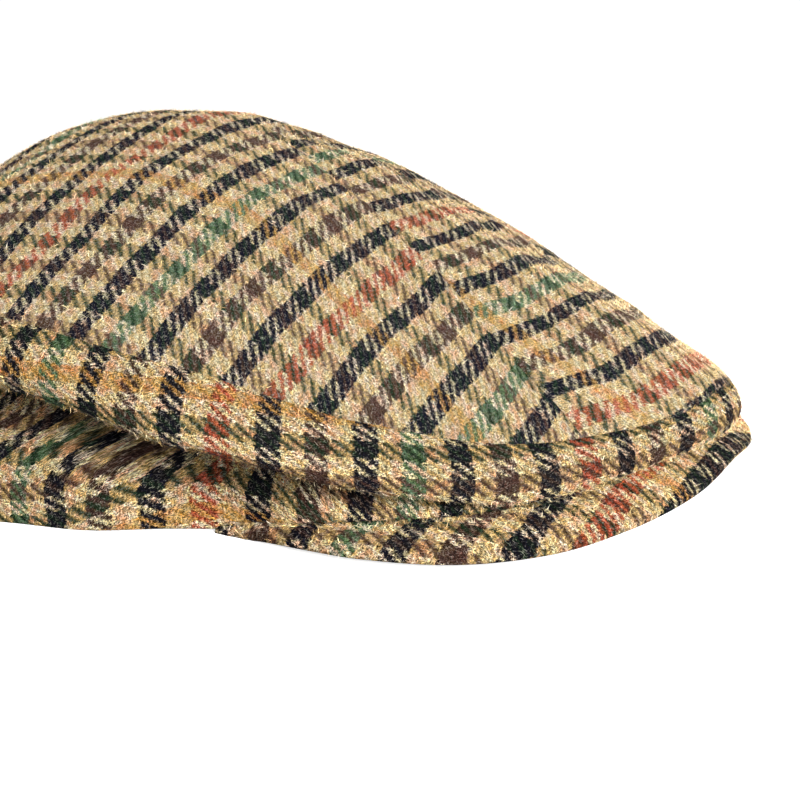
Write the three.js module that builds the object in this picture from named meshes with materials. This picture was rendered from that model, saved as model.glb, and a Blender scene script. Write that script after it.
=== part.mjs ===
// Soft flat cap in checked tweed, standing on its hem as it does by itself.
//
// Millimetres, +Z up, table at z = 0. The cap faces -Y and its wearer's right side is towards -X.
// Every piece is a cloth wall drawn in sections turned about the cap's upright axis: a turn of 0 degrees
// is the centre front, 90 the side and 180 the centre back, and both sides are alike.

import * as THREE from "three";

// ---- Driving sizes -------------------------------------------------------------------------------------

const CLOTH = 2.0; // tweed with its backing, as thick as the wall of the cap
const SEAM_GAP = 0.3; // clearance between neighbouring pieces
const PEAK_THICK = 3.2; // two layers of cloth over the board
const PEAK_EDGE = 1.3; // depth of the peak's rounded edge
const STAND = 5; // upright turned edge above the hem

const WEDGE_TURN = 30; // where the wedge panel's seams meet the crown seam
const PEAK_TURN = 72; // where the peak runs out against the hem
const TURN_STEP = 6;
const CROWN_ROWS = 10;
const SPAN_STEPS = [3, 3, 4, 3, 1]; // faces between seam, crest, under, fold, stand and hem
const UNDER_ROW = SPAN_STEPS[0] + SPAN_STEPS[1];
const FOLD_ROW = UNDER_ROW + SPAN_STEPS[2];
const HEM_ROW = FOLD_ROW + SPAN_STEPS[3] + SPAN_STEPS[4];
const PEAK_ROWS = 5; // faces across the peak, inside its rounded edge

// The crown's pole, where the three top panels meet. The cloth falls forward there by forwardSlope.
const POLE = { y: 22.7, z: 90.0, forwardSlope: 0.25 };

// One row for each section: radius R and height Z of the crown seam, of the widest line of the bulge
// (crest), of its underside (under), of the fold behind it, and of the hem. slope is how steeply the
// crown falls, in degrees, where it meets the seam.
const SECTIONS = [
  { turn: 0, seamR: 112.0, seamZ: 26.5, crestR: 115.2, crestZ: 20.0, underR: 113.6, underZ: 14.2,
    foldR: 98.0, foldZ: 17.0, hemR: 91.0, hemZ: 8.0, slope: 30.1 },
  { turn: 20, seamR: 109.6, seamZ: 23.5, crestR: 112.5, crestZ: 17.8, underR: 110.8, underZ: 12.6,
    foldR: 99.5, foldZ: 15.2, hemR: 98.5, hemZ: 7.0, slope: 32.4 },
  { turn: 40, seamR: 107.8, seamZ: 23.9, crestR: 114.2, crestZ: 16.8, underR: 112.6, underZ: 10.6,
    foldR: 103.2, foldZ: 13.4, hemR: 109.0, hemZ: 4.3, slope: 35.7 },
  { turn: 60, seamR: 107.6, seamZ: 31.6, crestR: 115.2, crestZ: 24.0, underR: 113.0, underZ: 16.4,
    foldR: 93.0, foldZ: 19.2, hemR: 101.0, hemZ: 1.6, slope: 36.8 },
  { turn: 70, seamR: 107.7, seamZ: 37.2, crestR: 115.9, crestZ: 28.7, underR: 113.8, underZ: 20.9,
    foldR: 87.5, foldZ: 22.9, hemR: 97.0, hemZ: 0.8, slope: 35.7 },
  { turn: 80, seamR: 108.4, seamZ: 42.6, crestR: 117.0, crestZ: 33.5, underR: 114.8, underZ: 25.5,
    foldR: 86.0, foldZ: 26.5, hemR: 91.0, hemZ: 0.6, slope: 34.1 },
  { turn: 105, seamR: 112.7, seamZ: 51.3, crestR: 120.4, crestZ: 43.5, underR: 117.4, underZ: 36.0,
    foldR: 101.0, foldZ: 34.0, hemR: 109.0, hemZ: 0.0, slope: 32.7 },
  { turn: 140, seamR: 123.0, seamZ: 54.7, crestR: 131.5, crestZ: 46.0, underR: 128.0, underZ: 37.0,
    foldR: 111.0, foldZ: 33.0, hemR: 116.5, hemZ: 0.0, slope: 35.9 },
  { turn: 180, seamR: 132.3, seamZ: 51.0, crestR: 140.5, crestZ: 41.0, underR: 137.0, underZ: 31.0,
    foldR: 116.0, foldZ: 28.0, hemR: 119.5, hemZ: 0.0, slope: 42.6 },
];

// The peak's upper face: its height where it leaves the hem, at the shoulder under the crown's edge,
// and at the rim.
const PEAK_SECTIONS = [
  { turn: 0, innerTop: 12.2, shoulderR: 108.0, shoulderTop: 12.9, rimR: 118.8, rimTop: 11.3 },
  { turn: 15, innerTop: 11.4, shoulderR: 109.5, shoulderTop: 11.4, rimR: 119.4, rimTop: 8.8 },
  { turn: 30, innerTop: 9.8, shoulderR: 113.0, shoulderTop: 9.3, rimR: 123.6, rimTop: 6.2 },
  { turn: 40, innerTop: 8.5, shoulderR: 117.0, shoulderTop: 7.9, rimR: 126.4, rimTop: 4.8 },
  { turn: 50, innerTop: 7.1, shoulderR: 114.0, shoulderTop: 6.7, rimR: 124.2, rimTop: 4.2 },
  { turn: 60, innerTop: 5.7, shoulderR: 107.5, shoulderTop: 5.3, rimR: 114.9, rimTop: 3.9 },
  { turn: 66, innerTop: 4.9, shoulderR: 103.2, shoulderTop: 4.6, rimR: 107.6, rimTop: 3.8 },
  { turn: PEAK_TURN, innerTop: 4.0, shoulderR: 97.5, shoulderTop: 4.0, rimR: 98.9, rimTop: 3.7 },
];

// ---- Sections ------------------------------------------------------------------------------------------

const HALF_TURN = 180;
const radians = THREE.MathUtils.degToRad;

/**
 * Smooth value of one column at a turn: a cubic through the rows. It is level where the two sides mirror,
 * and at a row that isn't between its neighbours, so that nothing overshoots a level stretch.
 */
function column(rows, name, turn) {
  const angle = Math.min(Math.abs(turn), 2 * HALF_TURN - Math.abs(turn));
  const last = rows.length - 1;
  const steepness = (k) => {
    if (k === 0 || rows[k].turn === HALF_TURN) return 0;
    const after = Math.min(k + 1, last);
    const [rise, next] = [rows[k][name] - rows[k - 1][name], rows[after][name] - rows[k][name]];
    if (k < last && rise * next <= 0) return 0;
    return (rise + next) / (rows[after].turn - rows[k - 1].turn);
  };
  const above = Math.max(1, rows.findIndex((row) => angle <= row.turn + 1e-9));
  const [a, b] = [rows[above - 1], rows[above]];
  const width = b.turn - a.turn;
  const t = (angle - a.turn) / width;
  const ease = t * t * (3 - 2 * t);
  const start = t * (1 - t) * (1 - t) * width * steepness(above - 1);
  const finish = t * t * (t - 1) * width * steepness(above);
  return a[name] + (b[name] - a[name]) * ease + start + finish;
}

/** A radius and a height at a turn, as a point in space. Turns past the back come round on the other side. */
function place(turn, radius, height) {
  const angle = radians(turn);
  return new THREE.Vector3(-radius * Math.sin(angle), -radius * Math.cos(angle), height);
}

/** The side band's section at a turn: points of its outer face from crown seam to hem, as (radius, height). */
function bandSection(turn) {
  const corner = (name) =>
    new THREE.Vector3(column(SECTIONS, name + "R", turn), column(SECTIONS, name + "Z", turn), 0);
  const hem = corner("hem");
  const stand = hem.clone().setY(hem.y + STAND);
  const corners = [corner("seam"), corner("crest"), corner("under"), corner("fold"), stand, hem];
  const curve = new THREE.CatmullRomCurve3(corners, false, "centripetal");
  const points = [curve.getPoint(0)];
  SPAN_STEPS.forEach((steps, span) => {
    for (let i = 1; i <= steps; i += 1) {
      points.push(curve.getPoint((span + i / steps) / SPAN_STEPS.length));
    }
  });
  return points.map((point) => new THREE.Vector2(point.x, point.y));
}

/** Outward directions along a section, each at right angles to the line through its neighbours. */
function sectionNormals(points) {
  return points.map((_, i) => {
    const before = points[Math.max(i - 1, 0)];
    const after = points[Math.min(i + 1, points.length - 1)];
    const along = after.clone().sub(before).normalize();
    return new THREE.Vector2(-along.y, along.x);
  });
}

/** The crown seam at a turn: its point, the direction square to both pieces, and the way to the band. */
function crownSeam(turn) {
  const section = bandSection(turn);
  const slope = radians(column(SECTIONS, "slope", turn));
  const square = sectionNormals(section)[0].add(new THREE.Vector2(Math.sin(slope), Math.cos(slope)));
  square.normalize();
  return { point: section[0], square, toBand: new THREE.Vector2(square.y, -square.x) };
}

/** A point of the crown: share 0 is the pole and 1 the edge, given as a point in space. */
function crownPoint(edge, slope, share) {
  const reach = Math.hypot(edge.x, edge.y - POLE.y);
  const forward = (POLE.y - edge.y) / reach;
  const ease = share * share * (3 - 2 * share);
  const start = share * (1 - share) ** 2 * reach * -POLE.forwardSlope * forward;
  const finish = share * share * (share - 1) * reach * -Math.tan(slope);
  return new THREE.Vector3(
    edge.x * share,
    POLE.y + (edge.y - POLE.y) * share,
    POLE.z + (edge.z - POLE.z) * ease + start + finish,
  );
}

// ---- Closed walls --------------------------------------------------------------------------------------

/** Closes two matching grids of points, outer and inner face, into one solid with walls round its rim. */
function closedWall(outer, inner) {
  const rows = outer.length;
  const columns = outer[0].length;
  const corners = [...outer.flat(), ...inner.flat()];
  const key = (point) => point.toArray().map((value) => Math.round(value * 1e4)).join(",");
  const first = new Map();
  const shared = corners.map((point, i) => {
    const name = key(point);
    if (!first.has(name)) first.set(name, i);
    return first.get(name);
  });
  const faces = [];
  const triangle = (a, b, c) => {
    const [p, q, r] = [shared[a], shared[b], shared[c]];
    if (p !== q && q !== r && r !== p) faces.push(p, q, r);
  };
  const quad = (a, b, c, d) => {
    triangle(a, b, c);
    triangle(a, c, d);
  };
  const out = (i, j) => i * columns + j;
  const back = (i, j) => rows * columns + i * columns + j;
  for (let i = 0; i < rows - 1; i += 1) {
    for (let j = 0; j < columns - 1; j += 1) {
      quad(out(i, j), out(i + 1, j), out(i + 1, j + 1), out(i, j + 1));
      quad(back(i, j), back(i, j + 1), back(i + 1, j + 1), back(i + 1, j));
    }
    quad(out(i, 0), back(i, 0), back(i + 1, 0), out(i + 1, 0));
    quad(out(i, columns - 1), out(i + 1, columns - 1), back(i + 1, columns - 1), back(i, columns - 1));
  }
  for (let j = 0; j < columns - 1; j += 1) {
    quad(out(0, j), out(0, j + 1), back(0, j + 1), back(0, j));
    quad(out(rows - 1, j), back(rows - 1, j), back(rows - 1, j + 1), out(rows - 1, j + 1));
  }
  const geometry = new THREE.BufferGeometry();
  geometry.setAttribute("position", new THREE.Float32BufferAttribute(corners.flatMap((p) => p.toArray()), 3));
  geometry.setIndex(faces);
  if (enclosedVolume(corners, faces) < 0) geometry.setIndex(faces.toReversed());
  geometry.computeVertexNormals();
  return geometry;
}

/** Volume inside a closed set of faces, negative when they point inwards. */
function enclosedVolume(corners, faces) {
  let sum = 0;
  for (let i = 0; i < faces.length; i += 3) {
    const [a, b, c] = [corners[faces[i]], corners[faces[i + 1]], corners[faces[i + 2]]];
    sum += a.dot(b.clone().cross(c)) / 6;
  }
  return sum;
}

/** Evenly spaced turns from one end to the other. */
function turnsBetween(from, to) {
  const count = Math.round((to - from) / TURN_STEP);
  return Array.from({ length: count + 1 }, (_, i) => from + ((to - from) * i) / count);
}

// ---- Pieces --------------------------------------------------------------------------------------------

/** The crown's edge at a turn: its outer and inner corner, just short of the seam, and its slope there. */
function crownEdge(turn) {
  const { point, square, toBand } = crownSeam(turn);
  const outerEdge = point.clone().addScaledVector(toBand, -SEAM_GAP / 2);
  const innerEdge = outerEdge.clone().addScaledVector(square, -CLOTH);
  return {
    slope: radians(column(SECTIONS, "slope", turn)),
    outer: place(turn, outerEdge.x, outerEdge.y),
    inner: place(turn, innerEdge.x, innerEdge.y),
  };
}

/** Upward direction square to the crown at a turn, some share of the way from the pole to the edge. */
function crownNormal(turn, share) {
  if (share === 0) return new THREE.Vector3(0, -POLE.forwardSlope, 1).normalize();
  const near = (turnOffset, shareOffset) => {
    const { outer, slope } = crownEdge(turn + turnOffset);
    return crownPoint(outer, slope, share + shareOffset);
  };
  const around = near(1, 0).sub(near(-1, 0));
  const down = near(0, 0.01).sub(near(0, -0.01));
  const normal = around.cross(down).normalize();
  return normal.multiplyScalar(Math.sign(normal.z));
}

/** A top panel: the sector of the crown between two turns, from the pole to the crown seam. */
function topPanel(from, to) {
  const turns = turnsBetween(from, to);
  const edges = turns.map(crownEdge);
  const pole = new THREE.Vector3(0, POLE.y, 0);
  const bearing = (edge) => edge.outer.clone().sub(pole).setZ(0).normalize();
  const firstSide = bearing(edges[0]);
  const lastSide = bearing(edges[edges.length - 1]);
  const middle = bearing(edges[Math.floor(edges.length / 2)]);
  // A quarter turn of each side's bearing, on the side where the panel lies.
  const inward = (side) => {
    const across = new THREE.Vector3(-side.y, side.x, 0);
    return across.multiplyScalar(Math.sign(across.dot(middle)) * (SEAM_GAP / 2));
  };
  const firstShift = inward(firstSide);
  const lastShift = inward(lastSide);
  const poleShift = firstShift.clone().add(lastShift);
  poleShift.setLength((SEAM_GAP / 2) ** 2 / (poleShift.length() / 2));
  const shift = (j, share) => {
    if (share === 0) return poleShift;
    if (j === 0) return firstShift;
    return j === edges.length - 1 ? lastShift : new THREE.Vector3();
  };
  const outer = [];
  const inner = [];
  for (let i = 0; i <= CROWN_ROWS; i += 1) {
    const share = i / CROWN_ROWS;
    const face = edges.map((edge, j) => crownPoint(edge.outer, edge.slope, share).add(shift(j, share)));
    outer.push(face);
    inner.push(edges.map((edge, j) => (i === CROWN_ROWS
      ? edge.inner.clone().add(shift(j, share))
      : face[j].clone().addScaledVector(crownNormal(turns[j], share), -CLOTH))));
  }
  return closedWall(outer, inner);
}

/**
 * One storey of the side band, a strip closed at the back, between two rows of the band's section. Storeys
 * that share a row keep a seam's gap there.
 */
function sideBand({ firstRow, lastRow }) {
  const turns = turnsBetween(-HALF_TURN, HALF_TURN);
  const strips = turns.map((turn) => {
    const section = bandSection(turn);
    const normals = sectionNormals(section);
    const { square, toBand } = crownSeam(turn);
    normals[0] = square;
    normals[normals.length - 1] = new THREE.Vector2(1, 0);
    section[0].addScaledVector(toBand, SEAM_GAP / 2);
    const slide = (row, distance) => {
      const down = new THREE.Vector2(normals[row].y, -normals[row].x);
      section[row].addScaledVector(down, distance);
    };
    if (firstRow > 0) slide(firstRow, SEAM_GAP / 2);
    if (lastRow < HEM_ROW) slide(lastRow, -SEAM_GAP / 2);
    const lining = section.map((point, i) => point.clone().addScaledVector(normals[i], -CLOTH));
    const rows = [firstRow, lastRow + 1];
    return { turn, section: section.slice(...rows), lining: lining.slice(...rows) };
  });
  const slit = ({ turn }) => {
    if (Math.abs(turn) < HALF_TURN) return new THREE.Vector3();
    return new THREE.Vector3((-Math.sign(turn) * SEAM_GAP) / 2, 0, 0);
  };
  const grid = (face) => strips[0].section.map((_, i) =>
    strips.map((strip) => place(strip.turn, strip[face][i].x, strip[face][i].y).add(slit(strip))));
  return closedWall(grid("section"), grid("lining"));
}

/** The peak: a board arched from side to side, from the hem out to its rounded rim. */
function peak() {
  const upper = [];
  const lower = [];
  const turns = turnsBetween(-PEAK_TURN, PEAK_TURN);
  const value = (name, turn) => column(PEAK_SECTIONS, name, turn);
  const height = (turn, radius) => {
    const inner = column(SECTIONS, "hemR", turn);
    const [shoulder, rim] = [value("shoulderR", turn), value("rimR", turn)];
    const [low, mid, high] = ["innerTop", "shoulderTop", "rimTop"].map((name) => value(name, turn));
    const t = (radius - inner) / (rim - inner);
    const knee = (shoulder - inner) / (rim - inner);
    const bow = (mid - low - (high - low) * knee) / (knee * (1 - knee));
    return low + (high - low) * t + bow * t * (1 - t);
  };
  for (let i = 0; i <= PEAK_ROWS + 1; i += 1) {
    const share = Math.min(i / PEAK_ROWS, 1);
    const edge = i > PEAK_ROWS;
    const row = turns.map((turn) => {
      const inner = column(SECTIONS, "hemR", turn) + SEAM_GAP;
      const rim = value("rimR", turn);
      const radius = edge ? rim : inner + (rim - PEAK_EDGE - inner) * share;
      return { turn, radius, top: height(turn, radius) };
    });
    const half = PEAK_THICK / 2;
    upper.push(row.map(({ turn, radius, top }) => place(turn, radius, edge ? top - half : top)));
    lower.push(row.map(({ turn, radius, top }) => place(turn, radius, top - (edge ? half : PEAK_THICK))));
  }
  return closedWall(upper, lower);
}

// ---- The cap -------------------------------------------------------------------------------------------

const tweed = new THREE.MeshStandardMaterial({ color: 0xa08a68, roughness: 0.95, metalness: 0 });
const darkTweed = new THREE.MeshStandardMaterial({ color: 0x97805e, roughness: 0.95, metalness: 0 });

const BULGE = { firstRow: 0, lastRow: UNDER_ROW };
const UNDERSIDE = { firstRow: UNDER_ROW, lastRow: FOLD_ROW };
const FLARE = { firstRow: FOLD_ROW, lastRow: HEM_ROW };
const PIECES = [
  { name: "top_panel_centre", geometry: topPanel(-WEDGE_TURN, WEDGE_TURN), material: tweed },
  { name: "top_panel_right", geometry: topPanel(WEDGE_TURN, HALF_TURN), material: tweed },
  { name: "top_panel_left", geometry: topPanel(-HALF_TURN, -WEDGE_TURN), material: tweed },
  { name: "side_band_bulge", geometry: sideBand(BULGE), material: tweed },
  { name: "side_band_underside", geometry: sideBand(UNDERSIDE), material: tweed },
  { name: "side_band_flare", geometry: sideBand(FLARE), material: darkTweed },
  { name: "peak", geometry: peak(), material: darkTweed },
];

const group = new THREE.Group();
for (const { name, geometry, material } of PIECES) {
  const mesh = new THREE.Mesh(geometry, material);
  mesh.name = name;
  group.add(mesh);
}

// The frame's origin is under the middle of the cap, halfway between the rim of the peak and the back.
const frontReach = column(PEAK_SECTIONS, "rimR", 0);
const backReach = Math.max(...bandSection(HALF_TURN).map((point) => point.x));
group.position.y = (frontReach - backReach) / 2;

export default group;
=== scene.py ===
"""A flat cap in checked wool tweed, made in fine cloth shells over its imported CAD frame.

Lengths of the cap are in millimetres until a mesh is written, because tailors and weavers
think in them; everything that Blender receives is in metres. A "turn" is an angle in degrees
round the cap's upright axis: 0 at the middle of the peak, 90 at the wearer's right, 180 behind.
"""

import logging
import math
from dataclasses import dataclass, field
from enum import Enum
from typing import Any, Sequence

import bpy
import bmesh
import numpy as np
from bpy.types import Material, Node, NodeSocket, NodeTree, Object
from mathutils import Matrix, Vector


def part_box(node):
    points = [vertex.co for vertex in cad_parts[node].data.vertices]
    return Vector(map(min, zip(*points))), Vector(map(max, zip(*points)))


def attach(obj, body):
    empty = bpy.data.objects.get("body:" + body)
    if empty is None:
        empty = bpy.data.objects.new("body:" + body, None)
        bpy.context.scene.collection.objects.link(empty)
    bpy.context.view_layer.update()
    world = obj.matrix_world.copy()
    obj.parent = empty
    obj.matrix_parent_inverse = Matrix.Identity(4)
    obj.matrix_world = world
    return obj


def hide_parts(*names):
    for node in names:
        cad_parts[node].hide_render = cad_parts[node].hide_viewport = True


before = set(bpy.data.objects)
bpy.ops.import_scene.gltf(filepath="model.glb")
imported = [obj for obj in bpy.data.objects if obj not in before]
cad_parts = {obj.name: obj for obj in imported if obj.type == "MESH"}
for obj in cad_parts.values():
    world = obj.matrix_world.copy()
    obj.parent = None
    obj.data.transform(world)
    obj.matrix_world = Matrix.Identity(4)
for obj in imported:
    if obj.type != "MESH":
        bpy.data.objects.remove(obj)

MM = 0.001
HALF_TURN = 180.0
# Tweed with its backing.
CLOTH = 2.0
# The groove between crown and band, and the hairline between panels, which lets no light through.
SEAM_GAP = 0.3
SEWN_GAP = 0.01
UV_NAME = "cloth"
VECTOR_MATHS = "ShaderNodeVectorMath"
# How light wool is, in linear light, that the painted shade standing for a deeper nap leaves as it is.
KEPT = 0.75
log = logging.getLogger("flat_cap")

Span = tuple[float, float]
Colour = tuple[float, float, float, float]


# ------------ The measured shape of the cap ------------


@dataclass(frozen=True)
class Sections:
    """Rows of sizes round the cap, with a smooth curve through each column."""

    columns: tuple[str, ...]
    rows: tuple[tuple[float, ...], ...]

    def at(self, name: str, turn: np.ndarray) -> np.ndarray:
        """Reads a column at any turn.

        Args:
            name: the column's name.
            turn: turns in degrees, of any shape.

        Returns:
            The sizes, in the shape of turn.
        """
        place = self.columns.index(name)
        turns = np.array([row[0] for row in self.rows])
        sizes = np.array([row[place] for row in self.rows])
        rise, width = np.diff(sizes), np.diff(turns)
        steep = np.zeros(len(sizes))
        both = (rise[:-1] + rise[1:]) / (turns[2:] - turns[:-2])
        steep[1:-1] = np.where(rise[:-1] * rise[1:] <= 0, 0.0, both)
        steep[-1] = 0.0 if turns[-1] == HALF_TURN else rise[-1] / width[-1]
        angle = np.minimum(np.abs(turn), 2 * HALF_TURN - np.abs(turn))
        above = np.clip(np.searchsorted(turns, angle - 1e-9), 1, len(turns) - 1)
        below = above - 1
        t = (angle - turns[below]) / width[below]
        ease = t * t * (3 - 2 * t)
        start = t * (1 - t) ** 2 * width[below] * steep[below]
        finish = t * t * (t - 1) * width[below] * steep[above]
        return sizes[below] + rise[below] * ease + start + finish


BAND = Sections(
    ("turn", "seam_r", "seam_z", "crest_r", "crest_z", "under_r", "under_z",
     "fold_r", "fold_z", "hem_r", "hem_z", "slope"),
    (
        (0, 112.0, 26.5, 115.2, 20.0, 113.6, 14.2, 98.0, 17.0, 91.0, 8.0, 30.1),
        (20, 109.6, 23.5, 112.5, 17.8, 110.8, 12.6, 99.5, 15.2, 98.5, 7.0, 32.4),
        (40, 107.8, 23.9, 114.2, 16.8, 112.6, 10.6, 103.2, 13.4, 109.0, 4.3, 35.7),
        (60, 107.6, 31.6, 115.2, 24.0, 113.0, 16.4, 93.0, 19.2, 101.0, 1.6, 36.8),
        (70, 107.7, 37.2, 115.9, 28.7, 113.8, 20.9, 87.5, 22.9, 97.0, 0.8, 35.7),
        (80, 108.4, 42.6, 117.0, 33.5, 114.8, 25.5, 86.0, 26.5, 91.0, 0.6, 34.1),
        (105, 112.7, 51.3, 120.4, 43.5, 117.4, 36.0, 101.0, 34.0, 109.0, 0.0, 32.7),
        (140, 123.0, 54.7, 131.5, 46.0, 128.0, 37.0, 111.0, 33.0, 116.5, 0.0, 35.9),
        (180, 132.3, 51.0, 140.5, 41.0, 137.0, 31.0, 116.0, 28.0, 119.5, 0.0, 42.6),
    ),
)
PEAK = Sections(
    ("turn", "inner_top", "shoulder_r", "shoulder_top", "rim_r", "rim_top"),
    (
        (0, 12.2, 108.0, 12.9, 117.6, 11.1),
        (15, 11.4, 109.5, 11.4, 119.8, 8.2),
        (30, 9.8, 113.0, 9.3, 123.6, 5.9),
        (40, 8.5, 117.0, 7.9, 126.4, 4.8),
        (50, 7.1, 114.0, 6.7, 124.2, 4.2),
        (60, 5.7, 107.5, 5.3, 114.9, 3.9),
        (66, 4.9, 103.2, 4.6, 107.6, 3.8),
        (72, 3.6, 98.0, 3.4, 99.6, 3.0),
        (76, 2.2, 93.8, 2.1, 95.0, 1.9),
        (80, 1.1, 91.2, 1.1, 91.8, 1.1),
    ),
)
# The hem stands upright for this height at most.
STAND = 5.0
# Where the wedge panel ends at either side, and where the peak runs out under the band.
WEDGE_TURN = 30.0
PEAK_TURN = 80.0
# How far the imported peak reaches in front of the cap's upright axis.
PEAK_REACH = 118.8
# Where the crown's seams meet, and how steeply the crown falls forward from there.
POLE_Y, POLE_Z, POLE_SLOPE = 22.7, 90.6, 0.29
# Cloth that the crown's slope to the side takes up, for the cube of the way across.
SLOPE_DRAW = 5.7e-6


def plan(radius: np.ndarray, turn: np.ndarray) -> np.ndarray:
    """Turns a radius and a turn into x and y, as the last axis of the result."""
    angle = np.radians(turn)
    return np.stack([-radius * np.sin(angle), -radius * np.cos(angle)], axis=-1)


def unit(vectors: np.ndarray) -> np.ndarray:
    """Scales vectors along the last axis to a length of one."""
    return vectors / np.maximum(np.linalg.norm(vectors, axis=-1, keepdims=True), 1e-12)


def flow(points: np.ndarray, steps: Sequence[int]) -> np.ndarray:
    """Runs a centripetal Catmull-Rom curve through each row of points.

    Args:
        points: an array of (curves, points, coordinates).
        steps: how many steps each span between two points is cut into.

    Returns:
        An array of (curves, samples, coordinates), ends included.
    """
    first = 2 * points[:, :1] - points[:, 1:2]
    last = 2 * points[:, -1:] - points[:, -2:-1]
    ends = np.concatenate([first, points, last], axis=1)
    pace = np.linalg.norm(np.diff(ends, axis=1), axis=2) ** 0.5
    samples = []
    for span, count in enumerate(steps):
        p0, p1, p2, p3 = (ends[:, span + k, None] for k in range(4))
        d0, d1, d2 = (pace[:, span + k, None, None] for k in range(3))
        leave = ((p1 - p0) / d0 - (p2 - p0) / (d0 + d1) + (p2 - p1) / d1) * d1
        arrive = ((p2 - p1) / d1 - (p3 - p1) / (d1 + d2) + (p3 - p2) / d2) * d1
        whole = count + 1 if span == len(steps) - 1 else count
        s = (np.arange(whole) / count)[None, :, None]
        cubic = (2 * p1 - 2 * p2 + leave + arrive) * s**3
        square = (3 * p2 - 3 * p1 - 2 * leave - arrive) * s**2
        samples.append(cubic + square + leave * s + p1)
    return np.concatenate(samples, axis=1)


def smooth(share: np.ndarray) -> np.ndarray:
    """Eases a share from 0 to 1, with level ends, and holds it beyond them."""
    held = np.clip(share, 0, 1)
    return held * held * (3 - 2 * held)


def run_along(points: np.ndarray) -> np.ndarray:
    """Adds up the length along each row of points, starting from 0."""
    steps = np.linalg.norm(np.diff(points, axis=-2), axis=-1)
    return np.concatenate([np.zeros_like(steps[..., :1]), np.cumsum(steps, axis=-1)], axis=-1)


def grid_normals(points: np.ndarray, towards: np.ndarray) -> np.ndarray:
    """Finds the normals of a grid of points.

    Args:
        points: the grid, of (loops, points, 3).
        towards: a rough outward direction for each point.

    Returns:
        A unit normal for each point, on the outward side.
    """
    across = np.gradient(points, axis=0)
    along = np.gradient(points, axis=1)
    normals = unit(np.cross(across, along))
    side = np.sign(np.sum(normals * towards, axis=-1, keepdims=True))
    return normals * np.where(side == 0, 1.0, side)


@dataclass(frozen=True)
class Wave:
    """One long soft ripple in the cloth."""

    heading: float
    length: float
    phase: float
    height: float


@dataclass(frozen=True)
class Softness:
    """The slight unevenness of milled cloth that stands by itself."""

    waves: tuple[Wave, ...] = (
        Wave(heading=20, length=61, phase=0.3, height=0.42),
        Wave(heading=105, length=47, phase=1.9, height=0.36),
        Wave(heading=64, length=33, phase=4.1, height=0.26),
        Wave(heading=150, length=24, phase=2.6, height=0.16),
        Wave(heading=85, length=17, phase=5.2, height=0.09),
    )

    def lift(self, points: np.ndarray) -> np.ndarray:
        """Adds up the ripples.

        Args:
            points: points on the cloth, with x, y and z as the last axis.

        Returns:
            How far the cloth stands proud at each point.
        """
        total = np.zeros(points.shape[:-1])
        for wave in self.waves:
            angle = math.radians(wave.heading)
            way = points[..., 0] * math.cos(angle) + points[..., 1] * math.sin(angle)
            way = way + 0.6 * points[..., 2]
            total = total + wave.height * np.cos(2 * math.pi * way / wave.length + wave.phase)
        return total


# ------------ Nodes, colours and finishes ------------


def linear(code: str) -> Colour:
    """Turns an sRGB colour into a linear one.

    Args:
        code: the colour in hex, such as "#E3CDA4".

    Returns:
        Its red, green, blue and alpha.
    """
    parts = [int(code[k:k + 2], 16) / 255 for k in (1, 3, 5)]
    red, green, blue = (p / 12.92 if p <= 0.04045 else ((p + 0.055) / 1.055) ** 2.4 for p in parts)
    return (red, green, blue, 1.0)


def feed(tree: NodeTree, node: Node, inputs: dict[Any, Any]) -> None:
    """Sets a node's inputs.

    Args:
        tree: the node's tree.
        node: the node.
        inputs: for each input's name or number, a value or the socket linked to it.
    """
    for key, value in inputs.items():
        if isinstance(value, NodeSocket):
            tree.links.new(value, node.inputs[key])
        else:
            node.inputs[key].default_value = value


def put(tree: NodeTree, kind: str, inputs: dict[Any, Any], **settings: Any) -> Node:
    """Adds a node to a tree.

    Args:
        tree: the tree that the node goes into.
        kind: the node's type.
        inputs: for each input's name or number, a value or the socket linked to it.
        settings: the node's own properties.

    Returns:
        The new node.
    """
    made = tree.nodes.new(kind)
    for name, value in settings.items():
        setattr(made, name, value)
    feed(tree, made, inputs)
    return made


def reckon(tree: NodeTree, operation: str, *values: Any, kind: str = "ShaderNodeMath") -> NodeSocket:
    """Adds a maths node on its values in order, and gives the result."""
    return put(tree, kind, dict(enumerate(values)), operation=operation).outputs[0]


def scaled(tree: NodeTree, vector: NodeSocket, factor: Any) -> NodeSocket:
    """Scales a vector or a colour."""
    return put(tree, VECTOR_MATHS, {0: vector, "Scale": factor}, operation="SCALE").outputs[0]


def remap(tree: NodeTree, value: NodeSocket, old: Span, new: Span) -> NodeSocket:
    """Maps one range of values onto another, held at both ends."""
    ends = {"Value": value, 1: old[0], 2: old[1], 3: new[0], 4: new[1]}
    return put(tree, "ShaderNodeMapRange", ends).outputs[0]


def mixed(tree: NodeTree, factor: Any, first: Any, second: Any, blend: str = "MIX") -> NodeSocket:
    """Mixes two colours."""
    return put(tree, "ShaderNodeMix", {0: factor, 6: first, 7: second},
               data_type="RGBA", blend_type=blend).outputs[2]


def noise(tree: NodeTree, where: NodeSocket, **sizes: float) -> Node:
    """Adds flat noise of a given Scale and Detail, and Roughness or Distortion where wanted."""
    return put(tree, "ShaderNodeTexNoise", {"Vector": where, **sizes}, noise_dimensions="2D")


def ramp(
    tree: NodeTree, share: NodeSocket, stops: Sequence[tuple[float, Colour]], interpolation: str = "LINEAR",
) -> Node:
    """Adds a colour ramp.

    Args:
        tree: the tree that the ramp goes into.
        share: what the ramp is read by.
        stops: the place and the linear colour of each stop, in order.
        interpolation: how colours run between the stops.

    Returns:
        The new node.
    """
    made = put(tree, "ShaderNodeValToRGB", {"Fac": share})
    made.color_ramp.interpolation = interpolation
    held = made.color_ramp.elements
    for number, (spot, colour) in enumerate(stops):
        # A new ramp has two stops already.
        stop = held[number] if number < 2 else held.new(spot)
        stop.position = spot
        stop.color = colour
    return made


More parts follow.
